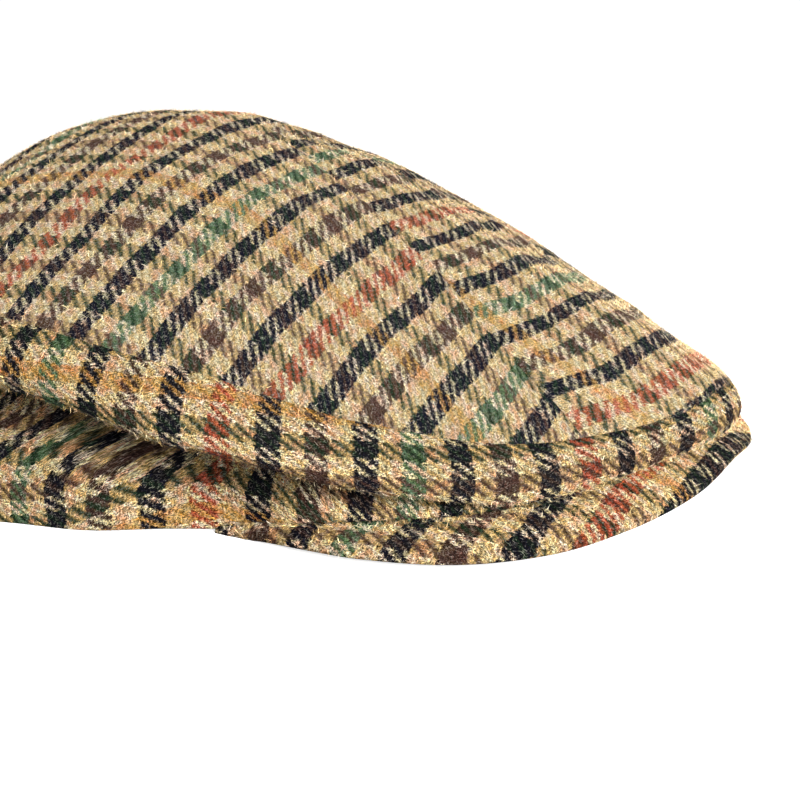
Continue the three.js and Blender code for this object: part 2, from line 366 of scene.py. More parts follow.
@dataclass(frozen=True)
class Wool:
    """A dyed wool: its sRGB colour, and the share of the face that it keeps where it is the warp."""

    colour: str
    cover: float


class Yarn(Enum):
    """Yarns of the tweed."""

    TAN = Wool("#DDC096", 0.62)
    IVORY = Wool("#EADDC6", 0.60)
    NAVY = Wool("#12152B", 0.76)
    BOTTLE = Wool("#24402F", 0.60)
    GREEN = Wool("#6B876C", 0.60)
    PLUM = Wool("#604A44", 0.60)
    RUST = Wool("#C16E55", 0.58)
    MUSTARD = Wool("#D3A768", 0.60)


def shepherd(pale: Yarn, *dark: Yarn) -> tuple[Yarn, ...]:
    """Sets a pale band after each dark one, as a shepherd's check does."""
    return tuple(yarn for band in dark for yarn in (band, pale))


@dataclass(frozen=True)
class Sett:
    """The order of the coloured bands, each of six threads, in the warp and in the weft."""

    warp: tuple[Yarn, ...] = shepherd(
        Yarn.TAN, Yarn.NAVY, Yarn.RUST, Yarn.NAVY, Yarn.PLUM, Yarn.NAVY, Yarn.GREEN, Yarn.NAVY, Yarn.PLUM)
    weft: tuple[Yarn, ...] = shepherd(
        Yarn.IVORY, Yarn.BOTTLE, Yarn.MUSTARD, Yarn.BOTTLE, Yarn.PLUM, Yarn.BOTTLE, Yarn.PLUM, Yarn.BOTTLE,
        Yarn.PLUM)
    band: float = 5.0
    threads: int = 6


@dataclass(frozen=True)
class TweedFinish:
    """Milled and brushed woollen cloth in a two-and-two twill.

    The fluffy yarns scatter light, so the cloth is almost without gloss, with a faint bloom of
    fibre ends where it is seen edge on.
    """

    name: str
    sett: Sett
    tone_attribute: str = ""
    bump: float = 0.8
    sheen: float = 0.012
    # contrast scales the painted light and shade on the cloth's fibres, and the spread of the nap's random
    # tone. The field after it is the gamma of painted shade in dark places.
    contrast: float = 1.0
    nap_shade: float = 1.0

    def _bands(self, tree: NodeTree, share: NodeSocket, yarns: Sequence[Yarn]) -> Node:
        """Colours a share of the repeat by its band, with each yarn's cover as the alpha."""
        stops = [
            (number / len(yarns), (*linear(yarn.value.colour)[:3], yarn.value.cover))
            for number, yarn in enumerate(yarns)
        ]
        return ramp(tree, share, stops, interpolation="CONSTANT")

    def build(self) -> Material:
        """Builds the material.

        Returns:
            A material that draws the check in the piece's own cloth coordinates.
        """
        material = bpy.data.materials.new(self.name)
        material.use_nodes = True
        tree = material.node_tree
        pitch = self.sett.band / self.sett.threads
        cloth = put(tree, "ShaderNodeAttribute", {}, attribute_name=UV_NAME)
        # Threads are 0.83 mm apart, so one unit from here on is one thread.
        threads = scaled(tree, cloth.outputs["Vector"], 1 / (pitch * MM))
        strands = self._strands(tree, threads)
        woven, relief = self._weave(tree, self._wander(tree, threads), strands)
        height = reckon(tree, "MULTIPLY_ADD", strands, 2.0, relief)
        bump = put(tree, "ShaderNodeBump", {"Height": height, "Strength": 1.0, "Distance": self.bump * MM})
        feed(tree, tree.nodes["Principled BSDF"], {
            "Base Color": self._heather(tree, woven, threads, strands, relief),
            "Normal": bump.outputs[0],
            "Roughness": 0.95,
            "Specular IOR Level": 0.02,
            "Sheen Weight": self.sheen,
            "Sheen Roughness": 0.6,
            "Sheen Tint": linear("#FFF4E0"),
        })
        return material

    def _wander(self, tree: NodeTree, threads: NodeSocket) -> NodeSocket:
        """Lets the yarns stray by up to a thread, both from thread to thread and slowly over 15 mm.

        Args:
            tree: the material's tree.
            threads: the cloth coordinates, one unit to a thread.

        Returns:
            The cloth coordinates that the yarns stray to.
        """
        fine = noise(tree, threads, Scale=0.8, Detail=5.0, Roughness=0.8)
        broad = noise(tree, threads, Scale=0.055, Detail=1.0)
        moved = threads
        for source, reach in ((fine, 2.7), (broad, 2.0)):
            centred = reckon(tree, "SUBTRACT", source.outputs["Color"], (0.5, 0.5, 0.5), kind=VECTOR_MATHS)
            moved = reckon(tree, "MULTIPLY_ADD", centred, (reach, reach, 0.0), moved, kind=VECTOR_MATHS)
        return moved

    def _weave(
        self, tree: NodeTree, threads: NodeSocket, strands: NodeSocket,
    ) -> tuple[NodeSocket, NodeSocket]:
        """Interlaces warp and weft.

        Args:
            tree: the material's tree.
            threads: the cloth coordinates, one unit to a thread.
            strands: the loose fibres, which carry one yarn's colour over the edge of the next.

        Returns:
            The colour of the yarn on top, and its round cross-section, 1 at the yarn's middle line.
        """
        repeat = self.sett.threads * len(self.sett.warp)
        split = put(tree, "ShaderNodeSeparateXYZ", {0: threads})
        shares, rounds, slants = [], [], []
        for way in (split.outputs[0], split.outputs[1]):
            floor = reckon(tree, "FLOOR", way)
            centre = reckon(tree, "ADD", floor, 0.5 + self.sett.threads / 2)
            part = reckon(tree, "MULTIPLY", centre, 1 / repeat)
            inside = reckon(tree, "FRACT", way)
            off = reckon(tree, "ADD", inside, -0.5)
            square = reckon(tree, "MULTIPLY", off, off)
            shares.append(reckon(tree, "FRACT", part))
            rounds.append(reckon(tree, "MULTIPLY_ADD", square, -3.4, 1.0))
            slants.append(reckon(tree, "MULTIPLY_ADD", inside, 0.5, floor))
        warp = self._bands(tree, shares[0], self.sett.warp)
        weft = self._bands(tree, shares[1], self.sett.weft)
        # A two-and-two twill repeats after four threads.
        diagonal = reckon(tree, "SUBTRACT", slants[0], slants[1])
        quarter = reckon(tree, "FLOORED_MODULO", diagonal, 4.0)
        place = reckon(tree, "MULTIPLY", quarter, 0.25)
        # How far the place is from the middle of the warp's float, set against half the float's length.
        half = reckon(tree, "MULTIPLY", warp.outputs["Alpha"], 0.5)
        from_middle = reckon(tree, "SUBTRACT", place, half)
        distance = reckon(tree, "PINGPONG", from_middle, 0.5)
        inside_by = reckon(tree, "SUBTRACT", half, distance)
        frayed = reckon(tree, "SUBTRACT", inside_by, strands)
        # Strands average 0.58, where the edge between two yarns lies.
        on_top = remap(tree, frayed, (-0.58 - 0.12, -0.58 + 0.12), (0.0, 1.0))
        woven = mixed(tree, on_top, weft.outputs["Color"], warp.outputs["Color"])
        relief = put(tree, "ShaderNodeMix", {0: on_top, 2: rounds[1], 3: rounds[0]}, data_type="FLOAT")
        return woven, relief.outputs[0]

    def _strands(self, tree: NodeTree, threads: NodeSocket) -> NodeSocket:
        """Lays loose fibres three ways across the yarns.

        Args:
            tree: the material's tree.
            threads: the cloth coordinates, one unit to a thread.

        Returns:
            About 0.7 along a fibre, falling to 0.45 in the gaps between fibres.
        """
        # Wool fibres are 0.03 mm thick. They are drawn ten times as thick, in clumps that still
        # show when the whole cap is in view.
        lays = []
        for number, turn in enumerate((0.4, 1.5, 2.6)):
            lie = put(tree, "ShaderNodeMapping",
                      {"Vector": threads, "Location": (17.0 * number, 5.0, 0.0),
                       "Rotation": (0.0, 0.0, turn), "Scale": (1.1, 0.36, 1.0)}, vector_type="TEXTURE")
            lay = noise(tree, lie.outputs[0], Scale=1.0, Detail=1.5, Distortion=0.7)
            lays.append(lay.outputs["Fac"])
        top = lays[0]
        for lay in lays[1:]:
            top = reckon(tree, "MAXIMUM", top, lay)
        return top

    def _heather(
        self, tree: NodeTree, woven: NodeSocket, threads: NodeSocket, strands: NodeSocket,
        relief: NodeSocket,
    ) -> NodeSocket:
        """Gives each yarn the mixed fibres that it was spun from; on the cloth it paints light and shade
        over them too.

        Args:
            tree: the material's tree.
            woven: the colour of the yarn on top.
            threads: the cloth coordinates, one unit to a thread.
            strands: the loose fibres, from _strands.
            relief: the round cross-section of the yarn on top, which paints shade at the yarn's edges where
                no tone attribute is given.

        Returns:
            The colour of the fibres; on the cloth it holds painted light and shade.
        """
        # Blends of dyed wool change over 3 to 8 mm, and from fibre to fibre.
        blend = noise(tree, threads, Scale=0.24, Detail=3.0)
        tints = ramp(tree, blend.outputs["Fac"], (
            (0.34, linear("#FFE4D6")), (0.46, linear("#FFFFFF")),
            (0.56, linear("#FFF8D2")), (0.66, linear("#F3F6E6")),
        ))
        tinted = mixed(tree, 1.0, woven, tints.outputs["Color"], blend="MULTIPLY")
        # Light fibres are nearly white and the shade between them is brown.
        specks = noise(tree, threads, Scale=2.4, Detail=3.0, Roughness=0.7)
        spread = reckon(tree, "MULTIPLY_ADD", specks.outputs["Fac"], (2.6, 3.0, 3.6), (-0.2, -0.4, -0.7),
                        kind=VECTOR_MATHS)
        fibres = reckon(tree, "MULTIPLY", tinted, spread, kind=VECTOR_MATHS)
        if self.tone_attribute:
            tone = put(tree, "ShaderNodeAttribute", {}, attribute_name=self.tone_attribute)
            value = remap(tree, tone.outputs["Fac"], (0.0, 1.0),
                          (1 - 0.45 * self.contrast, 1 + 0.8 * self.contrast))
        else:
            # Painted light and shade: the edges of each yarn are painted darker than its middle, and the
            # fibres lighter than the gaps between them.
            yarn_edge_shade = remap(tree, relief, (0.1, 1.0), (0.55, 1.05))
            lit = remap(tree, strands, (0.46, 0.70), (1 - 0.60 * self.contrast, 1 + 0.45 * self.contrast))
            value = reckon(tree, "MULTIPLY", yarn_edge_shade, lit)
        shaded = scaled(tree, fibres, value)
        # Undyed fibres strewn through every yarn show as pale hairs on the dark bands.
        hair = remap(tree, strands, (0.665, 0.74), (0.0, 0.4))
        strewn = mixed(tree, hair, shaded, linear("#E2DACB"))
        # Painted shade: little light comes back out of deep nap, so the gamma paints the dark places darker
        # than their dye. Wool with the lightness KEPT stays as it is.
        nap_shaded = put(tree, "ShaderNodeGamma", {"Color": strewn, "Gamma": self.nap_shade})
        return scaled(tree, nap_shaded.outputs[0], KEPT ** (1 - self.nap_shade))


# ------------ Cloth shells ------------


def add_object(name: str, data: Any) -> Object:
    """Adds an object to the scene."""
    made = bpy.data.objects.new(name, data)
    bpy.context.scene.collection.objects.link(made)
    return made


@dataclass
class Shell:
    """A closed piece of cloth, lofted from loops that each run out over the face and back inside.

    outer is the face of the cloth, a grid of (loops, points, 3) in mm; cloth holds the cloth
    coordinates of that grid, in mm; towards is a rough outward direction for each of its points;
    a shell with a pole has loops that all start from one point.
    """

    name: str
    outer: np.ndarray
    cloth: np.ndarray
    towards: np.ndarray
    rim: int = 4
    pole: bool = False

    def _loops(self) -> tuple[np.ndarray, np.ndarray]:
        """Takes each loop round its edge and back inside.

        Returns:
            The points of the closed loops, and their cloth coordinates.
        """
        normals = grid_normals(self.outer, self.towards)
        if self.pole:
            normals[:, 0] = unit(np.mean(normals[:, 1], axis=0))
        inner = self.outer - CLOTH * normals
        ahead = unit(self.outer[:, -1] - self.outer[:, -2])
        middle = (self.outer[:, -1] + inner[:, -1]) / 2
        half = (self.outer[:, -1] - inner[:, -1]) / 2
        bends = [k * math.pi / (self.rim + 1) for k in range(1, self.rim + 1)]
        reach = CLOTH / 2
        turned = [middle + half * math.cos(b) + ahead * reach * math.sin(b) for b in bends]
        points = np.concatenate([self.outer, np.stack(turned, axis=1), inner[:, ::-1]], axis=1)
        points[..., 2] = np.maximum(points[..., 2], 0.0)
        # The cloth runs on round the edge: its coordinates keep their pace over the rim and inside.
        pace = self.cloth[:, -1] - self.cloth[:, -2]
        pace = pace / np.linalg.norm(self.outer[:, -1] - self.outer[:, -2], axis=-1, keepdims=True)
        beyond = [pace * reach * b for b in (*bends, math.pi)]
        rim = self.cloth[:, -1:] + np.stack(beyond[:-1], axis=1)
        back = 2 * self.cloth[:, -1:] + beyond[-1][:, None] - self.cloth[:, ::-1]
        cloth = np.concatenate([self.cloth, rim, back], axis=1)
        return points, cloth

    def _faces(self, number: np.ndarray) -> list[tuple[int, ...]]:
        """Joins the loops by rings of faces, and closes the first loop and the last.

        Args:
            number: the number of each point, as a grid of (loops, points).

        Returns:
            The corners of each face.
        """
        length = number.shape[1]
        faces: list[tuple[int, ...]] = []
        for k in range(length - 1 if self.pole else length):
            after = (k + 1) % length
            ring = np.stack([number[:-1, k], number[:-1, after], number[1:, after], number[1:, k]], axis=1)
            faces.extend(tuple(dict.fromkeys(face)) for face in ring.tolist())
        for side in (number[0], number[-1]):
            for k in range((length - 1) // 2):
                corners = (side[k], side[k + 1], side[length - 2 - k], side[length - 1 - k])
                faces.append(tuple(dict.fromkeys(int(c) for c in corners)))
        return faces

    def build(self, axis_y: float, material: Material) -> Object:
        """Writes the mesh.

        Args:
            axis_y: where the cap's upright axis stands, in mm.
            material: the finish of the piece.

        Returns:
            The new object, in metres.
        """
        points, cloth = self._loops()
        loops, length = points.shape[:2]
        number = np.arange(loops * length).reshape(loops, length)
        if self.pole:
            number[:, 0] = number[0, 0]
            number[:, -1] = number[0, -1]
        faces = self._faces(number)
        # All loops share one point where they start from a pole, so some numbers go unused.
        used = np.unique(np.concatenate([np.array(face) for face in faces]))
        renumber = np.zeros(loops * length, dtype=int)
        renumber[used] = np.arange(len(used))
        faces = [tuple(int(renumber[c]) for c in face) for face in faces]
        flat = points.reshape(-1, 3)[used] + (0.0, axis_y, 0.0)
        mesh = bpy.data.meshes.new(self.name + "_cloth")
        mesh.from_pydata((flat * MM).tolist(), [], faces)
        shape = bmesh.new()
        shape.from_mesh(mesh)
        bmesh.ops.recalc_face_normals(shape, faces=shape.faces)
        shape.to_mesh(mesh)
        shape.free()
        corner = np.zeros(len(mesh.loops), dtype=np.int32)
        mesh.loops.foreach_get("vertex_index", corner)
        layer = mesh.uv_layers.new(name=UV_NAME)
        layer.data.foreach_set("uv", (cloth.reshape(-1, 2)[used] * MM)[corner].ravel())
        # Points on show carry 1, so that the nap grows from the face of the cloth only.
        shown = np.zeros((loops, length), dtype=np.float32)
        shown[:, :self.outer.shape[1] + self.rim // 2] = 1.0
        face_side = mesh.attributes.new("face_side", "FLOAT", "POINT")
        face_side.data.foreach_set("value", shown.reshape(-1)[used])
        mesh.materials.append(material)
        for face in mesh.polygons:
            face.use_smooth = True
        return add_object(mesh.name, mesh)


def sunk(distance: np.ndarray, depth: float = 0.45, reach: float = 1.3) -> np.ndarray:
    """Gives how far cloth is drawn in near a seam."""
    return depth * np.exp(-(distance / reach) ** 2)


def half_gap(gap: float, radius: float) -> float:
    """Gives half a gap as a turn in degrees, at a radius from the cap's axis."""
    return math.degrees(gap / 2 / radius)


def bend_at(name: str, turn: np.ndarray) -> np.ndarray:
    """Gives the radius and height of one of the band's named bends."""
    return np.stack([BAND.at(name + "_r", turn), BAND.at(name + "_z", turn)], axis=-1)


def crown_edge(turn: np.ndarray) -> tuple[np.ndarray, np.ndarray, np.ndarray, np.ndarray]:
    """Finds the seam between crown and band.

    Args:
        turn: turns in degrees.

    Returns:
        The seam's radius and height, and the direction (outwards, up) from it towards the band.
    """
    corners = [bend_at(name, turn) for name in ("seam", "crest", "under", "fold")]
    hem = bend_at("hem", turn)
    points = np.stack([*corners, hem + (0.0, STAND), hem], axis=1)
    start = flow(points, (60, 1, 1, 1, 1))[:, :2]
    along = unit(start[:, 1] - start[:, 0])
    slope = np.radians(BAND.at("slope", turn))
    square = unit(np.stack([-along[:, 1] + np.sin(slope), along[:, 0] + np.cos(slope)], axis=-1))
    return corners[0][:, 0], corners[0][:, 1], square[:, 1], -square[:, 0]


@dataclass
class CrownPanel:
    """One of the three panels of the top, fanned from the point where their seams meet."""

    name: str
    nodes: tuple[str, ...]
    start: float
    end: float
    columns: int = 240
    rows: int = 84
    nap_per_mm2: float = 2.6
    # brushed picks the finish with stronger painted light and shade.
    brushed: bool = False
    softness: Softness = field(default_factory=Softness)

    def _edge(self, turn: np.ndarray) -> np.ndarray:
        """Finds the panel's lower edge, just above the seam with the band.

        Args:
            turn: turns in degrees.

        Returns:
            The edge's points.
        """
        seam_r, seam_z, out, up = crown_edge(turn)
        radius = seam_r - out * SEAM_GAP / 2
        flat = plan(radius, turn)
        return np.concatenate([flat, (seam_z - up * SEAM_GAP / 2)[:, None]], axis=1)

    def _cloth(self, points: np.ndarray) -> np.ndarray:
        """Lays the cloth on the panel.

        The warp's bands cross the cap from side to side and the weft's run from front to back.
        A sloping stretch takes more cloth than its plan, so both ways are drawn out a little.

        Args:
            points: points on the panel.

        Returns:
            Their cloth coordinates.
        """
        x, y = points[..., 0], points[..., 1]
        drawn = x + SLOPE_DRAW * x**3
        if self.end == -self.start:
            # The wedge's bands bow back at the sides. It was cut a little off the grain, so they
            # lie closer together than elsewhere, except at the very front.
            level = 40 + (16 - (y - 0.0048 * x**2)) / 0.929
            return np.stack([level + 0.13 * (np.minimum(level, 141) - 129), 54 - drawn], axis=-1)
        side = -1.0 if self.start + self.end > 0 else 1.0
        behind = np.maximum(0.0, y - 60)
        level = y + 0.035 * (55 - side * x)
        # On the slopes beside the wedge the weft runs outwards as it comes forward.
        line = side * (55 + 0.0625 * y + 0.34 * np.maximum(0.0, -2 - y))
        return np.stack([
            (41 - level) / 0.897 - 0.3 * behind**3 / 14700,
            10 - (drawn - (line + SLOPE_DRAW * line**3)),
        ], axis=-1)

    def shell(self) -> Shell:
        """Shapes the panel, with its edges drawn in at the seams.

        Returns:
            The panel's shell.
        """
        inset = half_gap(SEWN_GAP, radius=115)
        turn = np.linspace(self.start + inset, self.end - inset, self.columns)
        edge = self._edge(turn)
        share = np.linspace(0, 1, self.rows) ** 0.85
        flat = edge[:, None, :2] - (0.0, POLE_Y)
        reach = np.linalg.norm(flat, axis=-1)
        forward = -flat[..., 1] / reach
        # Lines down the panel leave the pole with its slope and meet the seam with the seam's.
        s = share[None, :]
        ease = smooth(s)
        leave = s * (1 - s) ** 2 * reach * -POLE_SLOPE * forward
        slope = np.radians(BAND.at("slope", turn))[:, None]
        arrive = s * s * (s - 1) * reach * -np.tan(slope)
        height = POLE_Z + (edge[:, 2:] - POLE_Z) * ease + leave + arrive
        # Moving the pole's end along the panel's middle line takes half the gap off each side.
        spread = (0.0, POLE_Y) + flat * s[..., None]
        middle = math.radians((self.start + self.end) / 2)
        half = math.radians((self.end - self.start) / 2)
        shift = SEWN_GAP / 2 / math.sin(half)
        apart = shift * np.array([-math.sin(middle), -math.cos(middle)])
        spread = spread + apart * (1 - s[..., None])
        points = np.concatenate([spread, height[..., None]], axis=-1)
        away = np.stack([spread[..., 0], spread[..., 1] - POLE_Y, np.full(spread.shape[:2], 90.0)], axis=-1)
        normals = grid_normals(points, away)
        normals[:, 0] = unit(np.mean(normals[:, 1], axis=0))
        cloth = self._cloth(points)
        # The cloth is drawn in along the seam with the band and along both sides.
        draw = sunk((1 - s) * reach / np.cos(slope))
        for side in (0, -1):
            way = unit(flat[side, 0])
            gap = np.abs((spread[..., 0]) * way[1] - (spread[..., 1] - POLE_Y) * way[0])
            draw = np.maximum(draw, sunk(gap))
        lift = self.softness.lift(points) * np.minimum(1.0, (1 - s) * 6)
        points = points + normals * (lift - draw)[..., None]
        return Shell(self.name, points, cloth, away, pole=True)


@dataclass
class SideBand:
    """The band: a bulge under the crown, a deep fold, and the flare that the cap stands on."""

    name: str = "side_band"
    nodes: tuple[str, ...] = ("side_band_bulge", "side_band_underside", "side_band_flare")
    columns: int = 520
    steps: tuple[int, ...] = (8, 8, 18, 14, 4)
    lip_rounding: int = 9
    hem_gap: float = 0.15
    puff: float = 3.5
    lean: float = 23.0
    nap_per_mm2: float = 1.8
    # brushed picks the finish with stronger painted light and shade.
    brushed: bool = True
    softness: Softness = field(default_factory=Softness)

    def _profile(self, turn: np.ndarray) -> np.ndarray:
        """Runs the band's section from the seam over the bulge, into the fold and down to the hem.

        Args:
            turn: turns in degrees.

        Returns:
            The radius and the height along the section, for each turn.
        """
        seam_r, seam_z, out, up = crown_edge(turn)
        rows = [np.stack([seam_r + out * SEAM_GAP / 2, seam_z + up * SEAM_GAP / 2], axis=-1)]
        rows.extend(bend_at(name, turn) for name in ("crest", "under", "fold"))
        # The hem lies on the peak, and comes down to the floor where the peak ends.
        lying = PEAK.at("inner_top", np.minimum(np.abs(turn), PEAK_TURN)) + self.hem_gap
        hem_z = BAND.at("hem_z", turn)
        hem_z = np.where(np.abs(turn) < PEAK_TURN, np.maximum(lying, hem_z), hem_z)
        fold_z = rows[-1][:, 1]
        stand = np.minimum(STAND, 0.45 * (fold_z - hem_z))
        hem = np.stack([BAND.at("hem_r", turn), hem_z], axis=-1)
        rows.append(hem + np.stack([np.zeros_like(stand), stand], axis=-1))
        rows.append(hem + (0.0, CLOTH / 2))
        profile = flow(np.stack(rows, axis=1), self.steps)
        lip = slice(self.steps[0] // 2, sum(self.steps[:3]) - 2)
        for _ in range(self.lip_rounding):
            pulled = profile.copy()
            pulled[:, 1:-1] = (profile[:, :-2] + 2 * profile[:, 1:-1] + profile[:, 2:]) / 4
            profile[:, lip] = pulled[:, lip]
        return profile

    def _cloth(
        self, turn: np.ndarray, around: np.ndarray, depth: np.ndarray, flared: np.ndarray,
    ) -> np.ndarray:
        """Lays the cloth on the band.

        Args:
            turn: turns in degrees.
            around: the way along the crest from the middle of the front, for each turn.
            depth: the way down the section, for each point.
            flared: 0 down to the fold, rising to 1 towards the hem, for each point.

        Returns:
            The cloth coordinates of each point.
        """
        side = np.sign(turn)[:, None]
        # The flare leans: towards the hem its bands trail behind the ones above the fold.
        swing = smooth((np.abs(turn) - 55) / 50) * (1 - smooth((np.abs(turn) - 125) / 55))
        # The band is stretched round the front, and eases towards the back.
        used = 0.83 * around + 0.07 * np.maximum(0, around - 72) + 0.10 * np.maximum(0, around - 165)
        warp = 220 - side * (used[:, None] - self.lean * swing[:, None] * flared)
        # The band was cut on the curve, so one bottle green stripe runs down it from front to back.
        bottle = np.clip(10.2 + 0.30 * (np.abs(turn) - 68), 0, 21)[:, None]
        weft = 20 + 1.2 * (depth - bottle)
        return np.stack([warp, weft], axis=-1)

    def shell(self) -> Shell:
        """Shapes the band, one strip closed at the centre back.

        Returns:
            The band's shell.
        """
        slit = half_gap(SEWN_GAP, radius=120)
        turn = np.linspace(-HALF_TURN + slit, HALF_TURN - slit, self.columns)
        profile = self._profile(turn)
        depth = run_along(profile)
        flat = plan(profile[..., 0], turn[:, None])
        points = np.concatenate([flat, profile[..., 1:]], axis=-1)
        along = np.gradient(profile, axis=1)
        outward = unit(np.stack([-along[..., 1], along[..., 0]], axis=-1))
        towards = np.concatenate([plan(outward[..., 0], turn[:, None]), outward[..., 1:]], axis=-1)
        around = run_along(points[:, self.steps[0]])
        around = np.abs(around - around[self.columns // 2])
        fold = depth[:, sum(self.steps[:3])][:, None]
        hem_depth = depth[:, -1:]
        flared = smooth((depth - fold) / (0.75 * (hem_depth - fold)))
        calm = np.clip(depth / 8, 0, 1) * np.clip((hem_depth - depth) / 6, 0, 1)
        lift = self.softness.lift(points) * (0.3 + 0.7 * calm) * np.clip((hem_depth - depth) / 3, 0, 1)
        over_peak = 1 - smooth((np.abs(turn) - 55) / 20)[:, None]
        lift = lift * (1 - 0.8 * over_peak * smooth(depth / 25))
        draw = sunk(depth)
        # The flare stands in slow flutes, and puffs out between the fold and the hem.
        flute = 0.9 * np.sin(2 * math.pi * around / 57 + 0.8)
        flute = flute + 0.6 * np.sin(2 * math.pi * around / 33 + 2.1)
        puff = self.puff * np.sin(math.pi * np.clip((depth - fold) / (hem_depth - fold), 0, 1)) ** 2
        lift = lift + (flute[:, None] * flared + puff) * (1 - over_peak)
        points = points + towards * (lift - draw)[..., None]
        points[..., 2] = np.maximum(points[..., 2], CLOTH / 2)
        return Shell(self.name, points, self._cloth(turn, around, depth, flared), towards)


@dataclass
class Peak:
    """The cloth-covered peak, arched from side to side."""

    name: str = "peak"
    nodes: tuple[str, ...] = ("peak",)
    columns: int = 260
    rows: int = 38
    tuck: float = 4.0
    rim_rounding: float = 1.0
    droop_in: float = 2.4
    droop_down: float = 1.0
    least: float = 1.0
    nap_per_mm2: float = 2.6
    # brushed picks the finish with stronger painted light and shade.
    brushed: bool = True

    def shell(self) -> Shell:
        """Shapes the peak, with its inner edge tucked in under the hem.

        Returns:
            The peak's shell.
        """
        turn = np.linspace(-PEAK_TURN, PEAK_TURN, self.columns)
        inner = (BAND.at("hem_r", turn) - self.tuck)[:, None]
        reach = PEAK.at("rim_r", turn)[:, None]
        rim = reach - self.rim_rounding
        t = (np.linspace(0, 1, self.rows) ** 0.8)[None, :]
        # The wearer's left corner is drawn in a little and hangs lower than the right one.
        droop = smooth(-turn / 22)[:, None] * t
        radius = inner + (rim - inner) * t - self.droop_in * droop
        low, high = PEAK.at("inner_top", turn)[:, None], PEAK.at("rim_top", turn)[:, None]
        # One bow carries the surface from the hem over its shoulder to the rim.
        middle = PEAK.at("shoulder_top", turn)[:, None]
        knee = (PEAK.at("shoulder_r", turn)[:, None] - inner) / (reach - inner)
        bow = (middle - low - (high - low) * knee) / (knee * (1 - knee))
        height = low + (high - low) * t + bow * t * (1 - t) - self.droop_down * droop
        flat = plan(radius, turn[:, None])
        points = np.concatenate([flat, height[..., None]], axis=-1)
        towards = np.zeros_like(points)
        towards[..., 2] = 1.0
        x, y = points[..., 0], points[..., 1]
        cloth = np.stack([40 - 0.82 * (y + 41.5), 10 - 1.03 * (x + 36)], axis=-1)
        points[..., 2] -= sunk(rim - radius, depth=0.7, reach=1.8)
        # A groove runs along the hem, and closes where the hem lies flat on the peak's end.
        shut = 1 - smooth((np.abs(turn) - 58) / 14)[:, None]
        points[..., 2] -= shut * sunk(radius - inner - self.tuck, depth=0.8, reach=1.4)
        points[..., 2] = np.maximum(points[..., 2], self.least)
        return Shell(self.name, points, cloth, towards)


# ------------ Nap ------------


